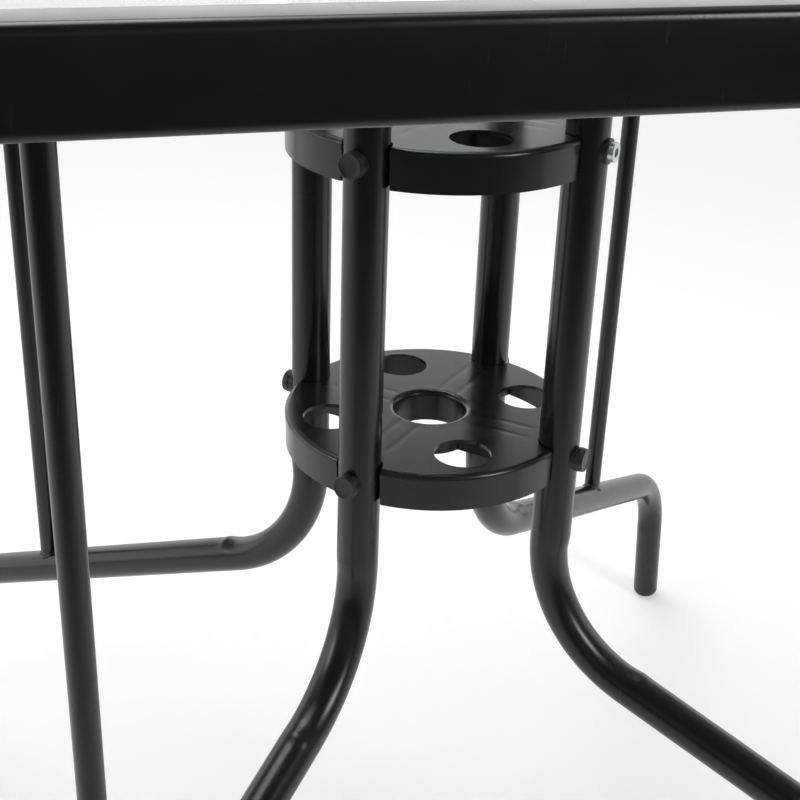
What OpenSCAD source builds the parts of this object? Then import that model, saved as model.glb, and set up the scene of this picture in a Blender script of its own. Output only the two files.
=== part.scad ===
// Square outdoor dining table with a glass top, a steel rim and a base of four bent tube legs.
// The legs are bolted to two moulded discs that hold them round a parasol pole.
// Millimetres, +Z up, origin on the floor under the centre of the top, sides along X and Y.

/* [Table top] */
// Outside length of each side of the square top
top_side = 810; // [760:5:900]
// Height of the rim's top edge over the floor
top_height = 750; // [735:5:790]
// Outside radius of the rim's corners, seen from above
rim_corner_radius = 50; // [44:1:80]
// Width of the rim's tube, seen from above
rim_tube_width = 20; // [18:1:26]
// Height of the rim's tube
rim_tube_height = 27; // [18:1:30]
// Wall of the rim's tube
rim_tube_wall = 1.5; // [1:0.1:2]
// Radius of the long edges of the rim's tube
rim_edge_radius = 3; // [2.5:0.5:4]
// Thickness of the glass
glass_thickness = 5; // [4:0.5:6]
// Gap between the glass and the rim
glass_edge_gap = 1.5; // [1:0.5:3]
// How far the glass lies below the rim's top edge
glass_recess = 1; // [0.5:0.5:2]

/* [Glass ledges] */
// Width of the flat strips that carry the glass
ledge_width = 14; // [12:1:20]
// Thickness of the strips
ledge_thickness = 2; // [1.5:0.5:3]
// Diameter of the pads under the glass
pad_diameter = 10; // [8:1:11]
// Thickness of the pads
pad_thickness = 1.5; // [1:0.5:2.5]
// Distance between neighbouring pads on one side
pad_spacing = 270; // [200:10:300]

/* [Parasol hole] */
// Bore that the parasol pole passes through, in the ring and in both discs
parasol_bore = 43; // [40:1:46]
// Wall of the ring's sleeve
ring_wall = 2.2; // [2:0.1:2.5]
// Width of the ring's flange past the sleeve
ring_flange = 6; // [4:0.5:10]
// Thickness of the ring's flange
ring_thickness = 2.5; // [2:0.5:4]
// Height of the ring's nut under the glass
ring_nut_height = 5; // [4:0.5:8]

/* [Legs] */
// Outside diameter of the leg tube
leg_tube = 24; // [22:1:26]
// Wall of the leg tube
leg_wall = 1.2; // [1:0.1:2]
// Distance from the table's centre to the middle of each post
post_radius = 85; // [82:1:88]
// Length of straight post below the lower disc's top
post_drop = 67; // [55:1:80]
// Middle radius of the large bend below the discs
lower_bend_radius = 92; // [80:1:105]
// Fall of the lower arm, in degrees below level
arm_slope = 21.5; // [16:0.5:25]
// Middle radius of the bend over the foot
foot_bend_radius = 92; // [76:1:100]
// Lean of the foot, in degrees away from upright
foot_lean = 10; // [6:0.5:14]
// Distance from the table's centre to the tip of each foot
foot_reach = 528; // [490:2:540]
// Middle radius of the bend over the upper disc
upper_bend_radius = 70; // [60:1:80]
// Height of the faint ridge that the bender leaves at both ends of a bend
bend_ridge = 0.1; // [0.05:0.05:0.2]
// Length of that ridge along the tube
ridge_length = 1.6; // [1:0.2:3]

/* [Brace rods] */
// Outside diameter of the upright brace rods
rod_diameter = 13; // [11:1:15]
// Wall of the brace rods
rod_wall = 1; // [0.8:0.1:1.5]
// Distance from the table's centre to the middle of each rod
rod_radius = 320; // [290:5:350]

/* [Discs] */
// Height of the lower disc's top over the floor
lower_disc_height = 437; // [432:1:442]
// Distance from the start of the upper bend down to the upper disc's top
upper_disc_drop = 21; // [18:1:40]
// Distance from the middle of the posts out to the discs' edge
disc_overhang = 3; // [0:0.5:4]
// Height of the discs' outer wall
disc_height = 22; // [20:1:25]
// Thickness of the discs' top
disc_skin = 2.2; // [2:0.2:4]
// Thickness of the outer wall and of the seats for the posts
disc_wall = 2.5; // [2:0.5:3]
// Radius of the rounded edge round the top
disc_edge_radius = 3; // [2:0.5:3.5]
// Step below the rounded edge
disc_step = 0.5; // [0.3:0.1:0.8]
// Width of the steep bevel at the lower corners beside a post
notch_bevel = 1; // [0.5:0.5:1.5]
// Gap beside a post in its notch
notch_side_gap = 2; // [1:0.5:2.5]
// Diameter of the four open holes between the posts
hole_diameter = 33; // [28:1:36]
// Distance from those holes to the disc's edge
hole_edge = 9.5; // [6:0.5:11]
// Wall of the collar round the parasol pole
collar_wall = 3; // [2.5:0.5:4]
// Height of the collar and the ribs
collar_height = 20; // [18.5:0.5:22]
// Radius of the rounded mouth of the collar
collar_mouth_radius = 3.5; // [2.5:0.5:4.5]
// Thickness of the ribs
rib_thickness = 2; // [1.5:0.5:2.5]

/* [Fasteners] */
// Thread diameter of the bolts
bolt_diameter = 6; // [5:1:6]
// Diameter of the bolts' round heads
bolt_head_diameter = 11; // [10:0.5:11.5]
// Height of the bolts' round heads
bolt_head_height = 3.5; // [3:0.5:3.5]
// Width of the hexagon socket across its flats
socket_size = 5; // [4:0.5:6]
// Depth of the hexagon socket
socket_depth = 2; // [1.5:0.5:2.5]
// Width of the nuts across their flats
nut_size = 10; // [9:0.5:10]
// Height of the nuts
nut_height = 6; // [5:0.5:7]
// Diameter of the curved washers between tube and bolt head
washer_diameter = 14; // [13:0.5:15]
// Thickness of the curved washers at their middle
washer_thickness = 1.2; // [1:0.1:2]
// Diameter of the round caps over the bolt heads
cap_diameter = 14.5; // [13.5:0.5:15.5]
// Height of the round caps
cap_height = 4.4; // [4.2:0.2:5.4]
// Radius of the caps' rounded edge
cap_edge_radius = 1.2; // [0.8:0.1:1.2]
// Distance of the rim bolts inside the middle of the rim's corners
rim_bolt_inset = 2; // [0:0.5:3]

/* [Tube caps] */
// Length of the rounded foot cap below the tube's end
foot_cap_height = 8; // [7.5:0.5:12]
// Radius of the foot cap's rounded edge
foot_cap_radius = 7; // [5:0.5:7]
// Depth of the flat that the foot cap rests on
foot_cap_flat = 0.8; // [0.6:0.1:1]
// Length of the plugs inside the tubes
plug_length = 14; // [10:1:20]
// Length of an upper arm past its rim bolt
arm_past_bolt = 9; // [8:0.5:9]
// Thickness of the flat head on the plug of an upper arm
plug_head = 2; // [1.5:0.5:3]

/* [Hidden] */
$fn = 64;

// Named clearances
slip = 0.1;
bolt_clearance = 0.3;
nut_clearance = 0.2;
seat_gap = 0.2;
sleeve_gap = 0.5;
joint_gap = 0.05;
past = 1;
bevel_steepness = 4;

// Where the four legs stand round the centre
front_left = 225;
front_right = 315;
back_left = 135;
back_right = 45;
corners = [front_left, front_right, back_left, back_right];
// The front right bolt of the upper disc has lost its cap
capped_corners = [front_left, back_left, back_right];

steel_colour = "#232325";
disc_colour = "#2e2f30";
zinc_colour = "#c3cbd2";
rubber_colour = "#161616";

// Rim, ledges and glass
rim_half = top_side / 2;
rim_bottom = top_height - rim_tube_height;
rim_straight = top_side - 2 * rim_corner_radius;
rim_path_half = rim_half - rim_tube_width / 2;
rim_path_radius = rim_corner_radius - rim_tube_width / 2;
inner_half = rim_half - rim_tube_width;
inner_corner_radius = rim_corner_radius - rim_tube_width;
glass_half = inner_half - glass_edge_gap;
glass_corner_radius = inner_corner_radius - glass_edge_gap;
glass_top_z = top_height - glass_recess;
glass_bottom_z = glass_top_z - glass_thickness;
ledge_top_z = glass_bottom_z - pad_thickness;
sleeve_radius = parasol_bore / 2 + ring_wall;
glass_hole_radius = sleeve_radius + sleeve_gap;
flange_radius = sleeve_radius + ring_flange;

// Path of a leg in its own upright plane: x outwards, z up
tube_radius = leg_tube / 2;
bore_radius = tube_radius - leg_wall;
bolt_hole = bolt_diameter + 2 * bolt_clearance;
corner_mid = (rim_half - rim_corner_radius) * sqrt(2) + rim_path_radius;
rim_bolt_radius = corner_mid - rim_bolt_inset;
arm_end = rim_bolt_radius + arm_past_bolt;
arm_z = rim_bottom - tube_radius;
upper_bend_z = arm_z - upper_bend_radius;
lower_bend_z = lower_disc_height - post_drop;
upper_disc_height = upper_bend_z - upper_disc_drop;
lower_turn = 90 - arm_slope;
foot_turn = 90 - arm_slope - foot_lean;
function cross2(a, b) = a[0] * b[1] - a[1] * b[0];
arm_way = [cos(arm_slope), -sin(arm_slope)];
foot_up = [-sin(foot_lean), cos(foot_lean)];
arm_start = [
    post_radius + lower_bend_radius * (1 - cos(lower_turn)),
    lower_bend_z - lower_bend_radius * sin(lower_turn)
];
foot_tip_z = foot_cap_radius * (1 - cos(foot_lean)) + (tube_radius - foot_cap_radius) * sin(foot_lean)
    - foot_cap_flat;
foot_tip = [foot_reach, foot_tip_z];
foot_tangent = foot_bend_radius * tan(foot_turn / 2);
arm_length = cross2(foot_tip - arm_start, foot_up) / cross2(arm_way, foot_up) - foot_tangent;
foot_length = cross2(foot_tip - arm_start, arm_way) / cross2(arm_way, foot_up)
    - foot_tangent - foot_cap_height;
arm_finish = arm_start + arm_length * arm_way;
foot_bend_centre = arm_finish + foot_bend_radius * [-sin(arm_slope), -cos(arm_slope)];
foot_start = foot_bend_centre + foot_bend_radius * [cos(foot_lean), sin(foot_lean)];
foot_end = foot_start - foot_length * foot_up;
// Where a bend meets a straight length, and the tube's angle there
bend_ends = [
    [[post_radius, lower_bend_z], 0],
    [[post_radius, upper_bend_z], 0],
    [[post_radius + upper_bend_radius, arm_z], 90],
    [arm_start, 90 + arm_slope],
    [arm_finish, 90 + arm_slope],
    [foot_start, 180 - foot_lean]
];

// Discs and the bolts through them
disc_radius = post_radius + disc_overhang;
hole_radius = disc_radius - hole_edge - hole_diameter / 2;
skirt_radius = disc_radius - disc_step;
seat_bottom = post_radius - tube_radius - seat_gap;
notch_radius = tube_radius + notch_side_gap;
notch_centre = seat_bottom + notch_radius;
seat_outer_radius = notch_radius + disc_wall;
nut_face = notch_centre - seat_outer_radius;
// The nuts lie just under the disc's top, a corner upwards
bolt_drop = disc_skin + nut_size / 2 / cos(30) + nut_clearance;
rib_inner = nut_size + 2 * nut_clearance;
collar_radius = parasol_bore / 2 + collar_wall;
washer_face = post_radius + tube_radius + washer_thickness;
bolt_reach = washer_face - nut_face + nut_height + past;
rim_bolt_reach = leg_tube + washer_thickness + rim_tube_wall + nut_height + past;

// Places children round the centre at the given corner, turned to face outwards
module at_corner(angle) {
    rotate([0, 0, angle]) children();
}

// A square ring along the rim's path, with the children as its profile: x outwards, y up
module square_ring(path_half, path_radius) {
    straight = 2 * (path_half - path_radius);
    for (side = [0 : 3]) rotate([0, 0, 90 * side]) {
        translate([path_half, straight / 2, 0]) rotate([90, 0, 0])
            linear_extrude(height = straight) children();
        translate([path_half - path_radius, path_half - path_radius, 0])
            rotate_extrude(angle = 90) translate([path_radius, 0]) children();
    }
}

// A rectangle with round corners, centred
module round_rectangle(width, height, radius) {
    square([width - 2 * radius, height], center = true);
    square([width, height - 2 * radius], center = true);
    for (x = [-1, 1]) for (y = [-1, 1])
        translate([x * (width / 2 - radius), y * (height / 2 - radius)]) circle(r = radius);
}

// A flat square plate with round corners, from z = 0 up
module round_plate(half, radius, thickness) {
    translate([-half + radius, -half, 0]) cube([2 * (half - radius), 2 * half, thickness]);
    translate([-half, -half + radius, 0]) cube([2 * half, 2 * (half - radius), thickness]);
    for (x = [-1, 1]) for (y = [-1, 1])
        translate([x * (half - radius), y * (half - radius), 0]) cylinder(h = thickness, r = radius);
}

// The square steel rim, one bent tube closed to a ring
module rim_frame() {
    color(steel_colour) difference() {
        translate([0, 0, rim_bottom + rim_tube_height / 2])
            square_ring(rim_path_half, rim_path_radius)
                round_rectangle(rim_tube_width, rim_tube_height, rim_edge_radius);
        translate([0, 0, rim_bottom + rim_tube_height / 2])
            square_ring(rim_path_half, rim_path_radius)
                square([rim_tube_width - 2 * rim_tube_wall, rim_tube_height - 2 * rim_tube_wall], center = true);
        for (angle = corners) at_corner(angle)
            translate([rim_bolt_radius, 0, rim_bottom - past])
                cylinder(h = rim_tube_wall + 2 * past, d = bolt_hole);
    }
}

// A flat strip welded inside one side of the rim
module ledge(angle) {
    color(steel_colour) rotate([0, 0, angle])
        translate([inner_half - ledge_width, -rim_straight / 2, ledge_top_z - ledge_thickness])
            cube([ledge_width, rim_straight, ledge_thickness]);
}

module glass_top() {
    color("#a9c4c0", 0.4) translate([0, 0, glass_bottom_z]) difference() {
        round_plate(glass_half, glass_corner_radius, glass_thickness);
        translate([0, 0, -past]) cylinder(h = glass_thickness + 2 * past, r = glass_hole_radius);
    }
}

module glass_pads() {
    color(rubber_colour) for (side = [0 : 3]) for (step = [-1 : 1])
        rotate([0, 0, 90 * side])
            translate([inner_half - ledge_width / 2, step * pad_spacing, ledge_top_z])
                cylinder(h = pad_thickness, d = pad_diameter);
}

// The upper half of the parasol ring, with its sleeve through the glass
module parasol_ring() {
    color(rubber_colour) difference() {
        union() {
            translate([0, 0, glass_top_z]) cylinder(h = ring_thickness, r = flange_radius);
            translate([0, 0, glass_bottom_z - ring_nut_height])
                cylinder(h = glass_thickness + ring_nut_height + past, r = sleeve_radius);
        }
        translate([0, 0, glass_bottom_z - ring_nut_height - past])
            cylinder(h = glass_thickness + ring_nut_height + ring_thickness + 2 * past, d = parasol_bore);
    }
}

module parasol_ring_nut() {
    color(rubber_colour) translate([0, 0, glass_bottom_z - ring_nut_height]) difference() {
        cylinder(h = ring_nut_height, r = flange_radius);
        translate([0, 0, -past]) cylinder(h = ring_nut_height + 2 * past, r = sleeve_radius + slip);
    }
}

// A bend in the leg's plane, from one angle to another round its centre
module bend(centre, radius, from, turn, thickness) {
    translate([centre[0], 0, centre[1]]) rotate([90, 0, 0]) rotate([0, 0, from])
        rotate_extrude(angle = turn) translate([radius, 0]) circle(r = thickness);
}

// A straight length of tube from a point in the leg's plane, a hair clear of the bends it runs between
module straight(point, tilt, length, thickness) {
    translate([point[0], 0, point[1]]) rotate([0, tilt, 0]) translate([0, 0, joint_gap])
        cylinder(h = length, r = thickness);
}

// The whole run of a leg as a solid bar, longer by the extra at both ends; the ridges join its lengths
module leg_run(thickness, extra) {
    straight([post_radius, lower_bend_z], 0, upper_bend_z - lower_bend_z - 2 * joint_gap, thickness);
    bend([post_radius + upper_bend_radius, upper_bend_z], upper_bend_radius, 90, 90, thickness);
    straight([post_radius + upper_bend_radius, arm_z], 90,
        arm_end - post_radius - upper_bend_radius - joint_gap + extra, thickness);
    bend([post_radius + lower_bend_radius, lower_bend_z], lower_bend_radius, 180, lower_turn, thickness);
    straight(arm_start, 90 + arm_slope, arm_length - 2 * joint_gap, thickness);
    bend(foot_bend_centre, foot_bend_radius, foot_lean, foot_turn, thickness);
    straight(foot_start, 180 - foot_lean, foot_length - joint_gap + extra, thickness);
    for (place = bend_ends) translate([place[0][0], 0, place[0][1]]) rotate([0, place[1], 0])
        cylinder(h = ridge_length, r = thickness + bend_ridge, center = true);
}

// One leg: upper arm, post, lower arm and foot in one bent tube
module leg(angle) {
    color(steel_colour) at_corner(angle) difference() {
        leg_run(tube_radius, 0);
        leg_run(bore_radius, past);
        for (height = [lower_disc_height, upper_disc_height])
            translate([post_radius, 0, height - bolt_drop]) rotate([0, 90, 0])
                cylinder(h = leg_tube + 2 * past, d = bolt_hole, center = true);
        translate([rim_bolt_radius, 0, arm_z])
            cylinder(h = leg_tube + 2 * past, d = bolt_hole, center = true);
    }
}

// An upright brace rod, shaped at both ends to the arms that it is welded to
module rod(angle) {
    foot_z = arm_start[1] - (rod_radius - arm_start[0]) * tan(arm_slope);
    color(steel_colour) at_corner(angle) difference() {
        translate([rod_radius, 0, foot_z]) cylinder(h = arm_z - foot_z, d = rod_diameter);
        translate([rod_radius, 0, foot_z - past])
            cylinder(h = arm_z - foot_z + 2 * past, d = rod_diameter - 2 * rod_wall);
        translate([arm_start[0], 0, arm_start[1]]) rotate([0, 90 + arm_slope, 0])
            cylinder(h = arm_length, r = tube_radius);
        translate([post_radius, 0, arm_z]) rotate([0, 90, 0])
            cylinder(h = arm_end - post_radius, r = tube_radius);
    }
}

// A rounded cap with a plug that is pushed into the end of the foot, cut flat where it rests
module foot_cap(angle) {
    color(rubber_colour) at_corner(angle) intersection() {
        translate([foot_end[0], 0, foot_end[1]]) rotate([0, 180 - foot_lean, 0]) {
            rotate_extrude() {
                square([tube_radius, foot_cap_height - foot_cap_radius]);
                square([tube_radius - foot_cap_radius, foot_cap_height]);
                translate([tube_radius - foot_cap_radius, foot_cap_height - foot_cap_radius])
                    intersection() {
                        circle(r = foot_cap_radius);
                        square(foot_cap_radius);
                    }
            }
            translate([0, 0, -plug_length]) cylinder(h = plug_length + slip, r = bore_radius - slip);
        }
        translate([foot_reach - 2 * leg_tube, -leg_tube, 0]) cube([4 * leg_tube, 2 * leg_tube, 4 * leg_tube]);
    }
}

// The flat plugs in the outer ends of the upper arms
module arm_plugs() {
    color(rubber_colour) for (angle = corners) at_corner(angle) translate([arm_end, 0, arm_z])
        rotate([0, 90, 0]) {
            cylinder(h = plug_head, r = tube_radius);
            translate([0, 0, -arm_past_bolt + bolt_hole / 2 + past])
                cylinder(h = arm_past_bolt - bolt_hole / 2, r = bore_radius - slip);
        }
}

// The outline of a disc's wall and top, turned round the centre
module disc_shell() {
    rotate_extrude() difference() {
        union() {
            square([skirt_radius, disc_height - disc_edge_radius]);
            translate([0, disc_height - 2 * disc_edge_radius]) square([disc_radius, disc_edge_radius]);
            square([disc_radius - disc_edge_radius, disc_height]);
            translate([disc_radius - disc_edge_radius, disc_height - disc_edge_radius]) circle(r = disc_edge_radius);
        }
        translate([-past, -past]) square([skirt_radius - disc_wall + past, disc_height - disc_skin + past]);
    }
}

// Everything that stands under a disc's top: collar, ribs and the seats for the posts
module disc_inside() {
    translate([0, 0, disc_height - collar_height]) cylinder(h = collar_height - past, r = collar_radius);
    for (angle = corners) at_corner(angle) {
        for (side = [-1, 1])
            translate([0, side * (rib_inner + rib_thickness) / 2 - rib_thickness / 2, disc_height - collar_height])
                cube([nut_face + disc_wall / 2, rib_thickness, collar_height - past]);
        translate([notch_centre, 0, 0]) cylinder(h = disc_height - past, r = seat_outer_radius);
    }
}

// The rounded mouth of the collar
module collar_mouth() {
    translate([0, 0, disc_height - collar_mouth_radius]) rotate_extrude() difference() {
        square([parasol_bore / 2 + collar_mouth_radius, collar_mouth_radius + past]);
        translate([parasol_bore / 2 + collar_mouth_radius, 0]) circle(r = collar_mouth_radius);
    }
}

// One moulded disc, with its top at the given height
module disc(height) {
    color(disc_colour) translate([0, 0, height - disc_height]) difference() {
        union() {
            disc_shell();
            intersection() {
                disc_inside();
                cylinder(h = disc_height, r = skirt_radius - disc_wall / 2);
            }
        }
        translate([0, 0, -past]) cylinder(h = disc_height + 2 * past, d = parasol_bore);
        collar_mouth();
        for (angle = corners) at_corner(angle) {
            translate([notch_centre, 0, -past]) cylinder(h = disc_height + 2 * past, r = notch_radius);
            translate([notch_centre, -notch_radius, -past])
                cube([2 * notch_radius, 2 * notch_radius, disc_height + 2 * past]);
            translate([notch_centre - notch_bevel, 0, 0]) rotate([90, 0, 90])
                linear_extrude(height = 2 * notch_radius) polygon([
                    [-notch_radius - notch_bevel, -past], [notch_radius + notch_bevel, -past],
                    [notch_radius, bevel_steepness * notch_bevel],
                    [-notch_radius, bevel_steepness * notch_bevel]
                ]);
            translate([collar_radius + past, 0, disc_height - bolt_drop]) rotate([0, 90, 0])
                cylinder(h = disc_radius, d = bolt_hole);
            rotate([0, 0, 45]) translate([hole_radius, 0, disc_height - disc_skin - past])
                cylinder(h = disc_skin + 2 * past, d = hole_diameter);
        }
    }
}

// A bolt with a round head and a hexagon socket, its head's underside at z = 0, pointing down
module socket_bolt(length) {
    difference() {
        union() {
            cylinder(h = bolt_head_height, d = bolt_head_diameter);
            translate([0, 0, -length]) cylinder(h = length + past, d = bolt_diameter);
        }
        translate([0, 0, bolt_head_height - socket_depth])
            cylinder(h = socket_depth + past, d = socket_size / cos(30), $fn = 6);
    }
}

// A hexagon nut, one face at z = 0
module hex_nut() {
    difference() {
        cylinder(h = nut_height, d = nut_size / cos(30), $fn = 6);
        translate([0, 0, -past]) cylinder(h = nut_height + 2 * past, d = bolt_diameter + slip);
    }
}

// A washer with one side curved to sit on the leg tube, its flat side at z = 0, the tube below
module curved_washer() {
    difference() {
        translate([0, 0, -washer_thickness - tube_radius / 2])
            cylinder(h = washer_thickness + tube_radius / 2, d = washer_diameter);
        translate([0, 0, -washer_thickness - tube_radius]) rotate([90, 0, 0])
            cylinder(h = 2 * leg_tube, r = tube_radius, center = true);
        translate([0, 0, -washer_thickness - tube_radius]) cylinder(h = leg_tube, d = bolt_hole);
    }
}

// Children placed at a disc's four bolts, z outwards from the washer's flat side
module at_disc_bolts(height, angles) {
    for (angle = angles) at_corner(angle)
        translate([washer_face, 0, height - bolt_drop]) rotate([0, 90, 0]) children();
}

module disc_bolts(height) {
    color(zinc_colour) at_disc_bolts(height, corners) socket_bolt(bolt_reach);
}

module disc_washers(height) {
    color(rubber_colour) at_disc_bolts(height, corners) rotate([0, 0, 90]) curved_washer();
}

module disc_nuts(height) {
    color(zinc_colour) at_disc_bolts(height, corners)
        translate([0, 0, nut_face - nut_height - washer_face]) hex_nut();
}

// A round cap pressed over a bolt head
module bolt_cap() {
    rotate_extrude() difference() {
        union() {
            square([cap_diameter / 2, cap_height - cap_edge_radius]);
            square([cap_diameter / 2 - cap_edge_radius, cap_height]);
            translate([cap_diameter / 2 - cap_edge_radius, cap_height - cap_edge_radius])
                circle(r = cap_edge_radius);
        }
        translate([-past, -past]) square([bolt_head_diameter / 2 + slip + past, bolt_head_height + slip + past]);
    }
}

module bolt_caps(height, angles) {
    color(rubber_colour) at_disc_bolts(height, angles) bolt_cap();
}

// Children placed under the four arm ends, z down from the washer's flat side
module at_rim_bolts() {
    for (angle = corners) at_corner(angle)
        translate([rim_bolt_radius, 0, rim_bottom - leg_tube - washer_thickness]) rotate([180, 0, 0]) children();
}

module rim_bolts() {
    color(zinc_colour) at_rim_bolts() socket_bolt(rim_bolt_reach);
}

module rim_washers() {
    color(rubber_colour) at_rim_bolts() rotate([0, 0, 90]) curved_washer();
}

module rim_nuts() {
    color(zinc_colour) for (angle = corners) at_corner(angle)
        translate([rim_bolt_radius, 0, rim_bottom + rim_tube_wall]) hex_nut();
}

rim_frame();
ledge(270);  // ledge_front
ledge(90);  // ledge_back
ledge(180);  // ledge_left
ledge(0);  // ledge_right
glass_top();
glass_pads();
parasol_ring();
parasol_ring_nut();
leg(front_left);  // leg_front_left
leg(front_right);  // leg_front_right
leg(back_left);  // leg_back_left
leg(back_right);  // leg_back_right
rod(front_left);  // rod_front_left
rod(front_right);  // rod_front_right
rod(back_left);  // rod_back_left
rod(back_right);  // rod_back_right
foot_cap(front_left);  // foot_cap_front_left
foot_cap(front_right);  // foot_cap_front_right
foot_cap(back_left);  // foot_cap_back_left
foot_cap(back_right);  // foot_cap_back_right
arm_plugs();
disc(upper_disc_height);  // upper_disc
disc(lower_disc_height);  // lower_disc
disc_bolts(upper_disc_height);  // upper_disc_bolts
disc_bolts(lower_disc_height);  // lower_disc_bolts
disc_nuts(upper_disc_height);  // upper_disc_nuts
disc_nuts(lower_disc_height);  // lower_disc_nuts
disc_washers(upper_disc_height);  // upper_disc_washers
disc_washers(lower_disc_height);  // lower_disc_washers
bolt_caps(upper_disc_height, capped_corners);  // upper_bolt_caps
bolt_caps(lower_disc_height, corners);  // lower_bolt_caps
rim_bolts();
rim_nuts();
rim_washers();
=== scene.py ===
import bmesh
import bpy
import math
import numpy as np
from mathutils import Matrix, Vector


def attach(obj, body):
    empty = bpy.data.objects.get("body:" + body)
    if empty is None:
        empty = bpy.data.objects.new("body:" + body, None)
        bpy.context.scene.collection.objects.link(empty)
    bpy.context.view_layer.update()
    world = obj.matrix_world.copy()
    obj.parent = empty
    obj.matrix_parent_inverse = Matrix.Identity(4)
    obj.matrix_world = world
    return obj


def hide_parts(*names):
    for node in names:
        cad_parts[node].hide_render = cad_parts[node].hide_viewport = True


# Square outdoor dining table with a glass top and a base of four bent tube legs, in a white studio.
# Metres, +Z up, the floor at z = 0 under the centre of the top.
# Lengths in the dictionaries of shapes are millimetres, those of materials and lamps are metres.

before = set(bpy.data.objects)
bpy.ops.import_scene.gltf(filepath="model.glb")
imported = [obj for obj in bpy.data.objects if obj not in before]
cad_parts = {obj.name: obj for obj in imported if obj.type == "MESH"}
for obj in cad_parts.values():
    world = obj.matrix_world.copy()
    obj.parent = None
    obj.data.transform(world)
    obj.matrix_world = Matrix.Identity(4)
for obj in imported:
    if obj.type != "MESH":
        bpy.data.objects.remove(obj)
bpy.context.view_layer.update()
mm = 0.001
tiny = 1e-9
cornerAngles = {"front_left": 225.0, "front_right": 315.0, "back_left": 135.0, "back_right": 45.0}
print("frame loaded:", len(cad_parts), "nodes")


# Mesh helpers

def newObject(name, data):
    # An object with its data, linked to the scene
    made = bpy.data.objects.new(name, data)
    bpy.context.scene.collection.objects.link(made)
    return made


def gridFaces(rows, columns, wrapRows=False):
    # Quads of a grid closed round its columns; point (row, column) has the number row * columns + column
    r = np.arange(rows if wrapRows else rows - 1)[:, None]
    c = np.arange(columns)[None, :]
    nextR = (r + 1) % rows
    nextC = (c + 1) % columns
    corners = [r * columns + c, r * columns + nextC, nextR * columns + nextC, nextR * columns + c]
    return np.stack([np.broadcast_to(k, (r.shape[0], c.shape[1])) for k in corners], -1).reshape(-1, 4)


def tubeFaces(rows, columns):
    # The quads of a grid and a flat face over each of its ends
    faces = gridFaces(rows, columns).tolist()
    faces.append(list(range(columns))[::-1])
    faces.append(list(range((rows - 1) * columns, rows * columns)))
    return faces


def addPiece(name, points, faces, materials, slot, replaced=(), sharp=35.0, faceMaterials=None):
    # A mesh object from points and faces, with normals outwards and edges over the sharp angle kept crisp
    mesh = bpy.data.meshes.new(name)
    mesh.from_pydata(np.asarray(points, float).reshape(-1, 3).tolist(), [], [list(f) for f in faces])
    if faceMaterials is not None:
        mesh.polygons.foreach_set("material_index", np.asarray(faceMaterials, dtype=np.int32))
    work = bmesh.new()
    work.from_mesh(mesh)
    bmesh.ops.recalc_face_normals(work, faces=work.faces)
    work.to_mesh(mesh)
    work.free()
    mesh.shade_smooth()
    mesh.set_sharp_from_angle(angle=math.radians(sharp))
    for material in materials:
        mesh.materials.append(material)
    piece = newObject(name, mesh)
    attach(piece, "root")
    if replaced:
        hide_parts(*replaced)
    return piece


def joinShapes(shapes):
    # Several (points, faces) pairs as one, with the numbers in the faces moved on
    allPoints, allFaces, start = [], [], 0
    for points, faces in shapes:
        points = np.asarray(points, float).reshape(-1, 3)
        allPoints.append(points)
        allFaces += [[i + start for i in f] for f in faces]
        start += len(points)
    return np.concatenate(allPoints), allFaces


def turned(points, degrees):
    # Points turned round the Z axis
    a = math.radians(degrees)
    turn = np.array([[math.cos(a), math.sin(a), 0], [-math.sin(a), math.cos(a), 0], [0, 0, 1]])
    return np.asarray(points, float) @ turn


def revolved(profile, segments):
    # (radius, height) pairs spun round Z; the profile starts and ends on the axis, or closes on itself
    profile = np.asarray(profile, float)
    a = np.linspace(0, 2 * np.pi, segments, endpoint=False)
    ringWay = np.stack([np.cos(a), np.sin(a)], -1)
    closed = np.allclose(profile[0], profile[-1])
    body = profile[:-1] if closed else profile[1:-1]
    flat = body[:, None, :1] * ringWay[None]
    points = np.concatenate([flat, np.repeat(body[:, None, 1:], segments, 1)], -1).reshape(-1, 3)
    faces = gridFaces(len(body), segments, wrapRows=closed).tolist()
    if not closed:
        first, last = len(points), len(points) + 1
        points = np.concatenate([points, [[0, 0, profile[0, 1]], [0, 0, profile[-1, 1]]]])
        start = (len(body) - 1) * segments
        for i in range(segments):
            j = (i + 1) % segments
            faces.append([first, j, i])
            faces.append([last, start + i, start + j])
    return points, faces


def placed(points, origin, axis):
    # Points whose Z is turned to the axis and whose zero is moved to the origin
    turn = Vector(axis).normalized().to_track_quat("Z", "Y").to_matrix()
    return np.asarray(points, float) @ np.array(turn).T + np.array(origin)


def arc(centre, radius, start, end, steps):
    # Points of a round corner in a profile, from one angle in degrees to another
    a = np.radians(np.linspace(start, end, steps))
    return np.stack([centre[0] + radius * np.cos(a), centre[1] + radius * np.sin(a)], -1)


def smooth(x):
    # Rises from 0 to 1 with level ends: three x squared less two x cubed
    x = np.clip(x, 0, 1)
    return x * x * (3 - 2 * x)


# Material helpers

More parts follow.
